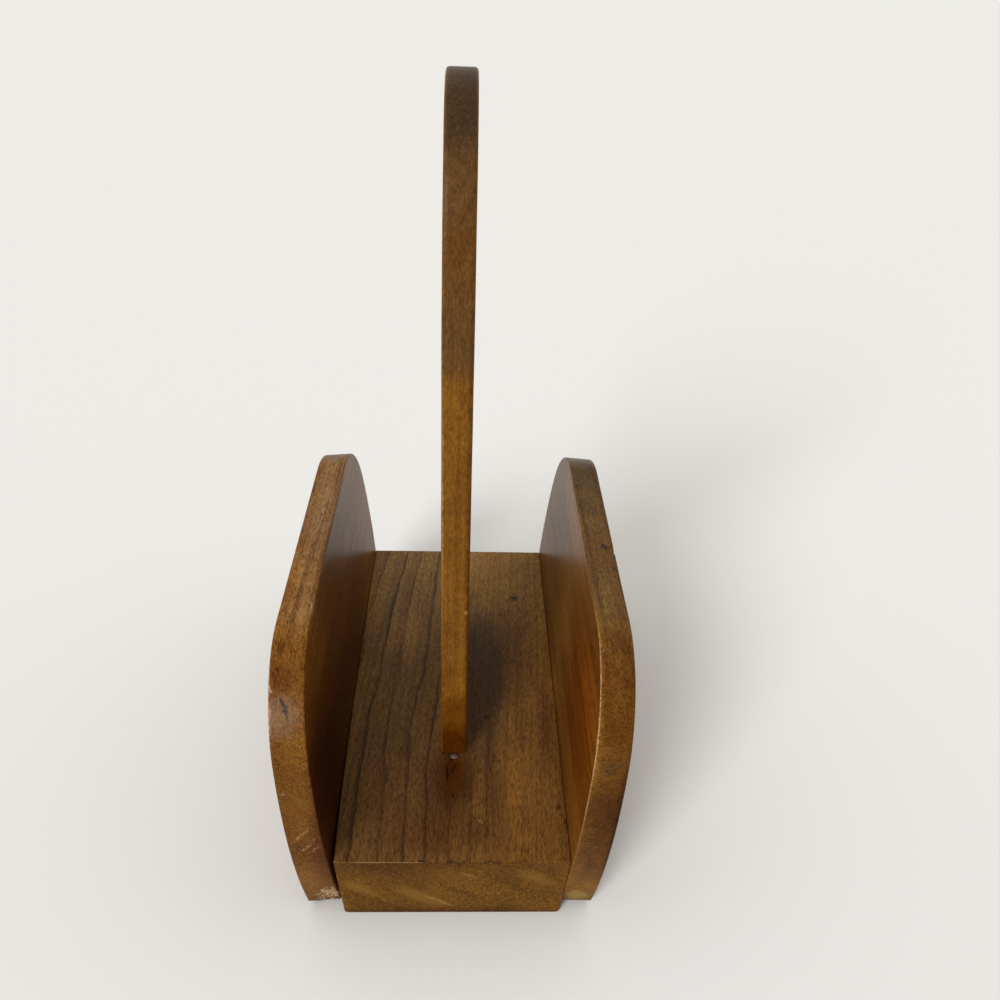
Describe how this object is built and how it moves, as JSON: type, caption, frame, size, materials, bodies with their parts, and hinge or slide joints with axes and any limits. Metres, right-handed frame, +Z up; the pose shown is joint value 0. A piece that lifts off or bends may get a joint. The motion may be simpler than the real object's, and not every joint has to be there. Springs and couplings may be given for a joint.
{
  "type": "napkin holder",
  "caption": "Wooden napkin holder: a solid base block between outward-leaning side panels with round corners, and a tall arched divider standing in the middle.",
  "frame": {"origin": "middle of the foot, on the table", "axes": "+Z up, -Y towards the front (the end that the picture shows), +X to the right seen from the front"},
  "size_m": [0.1008, 0.156, 0.224],
  "materials": {
    "block_wood": "satin varnish, brown hardwood with darker lengthwise streaks",
    "panel_wood": "satin varnish, honey brown hardwood, worn arrises",
    "divider_wood": "satin varnish, honey brown hardwood, darker at the top",
    "dowel_wood": "bare beech dowel"
  },
  "bodies": {
    "root": {"base_block": "block_wood", "left_panel": "panel_wood", "right_panel": "panel_wood", "divider": "divider_wood", "left_front_dowel": "dowel_wood", "left_rear_dowel": "dowel_wood", "right_front_dowel": "dowel_wood", "right_rear_dowel": "dowel_wood", "divider_front_dowel": "dowel_wood", "divider_rear_dowel": "dowel_wood"}
  },
  "joints": []
}
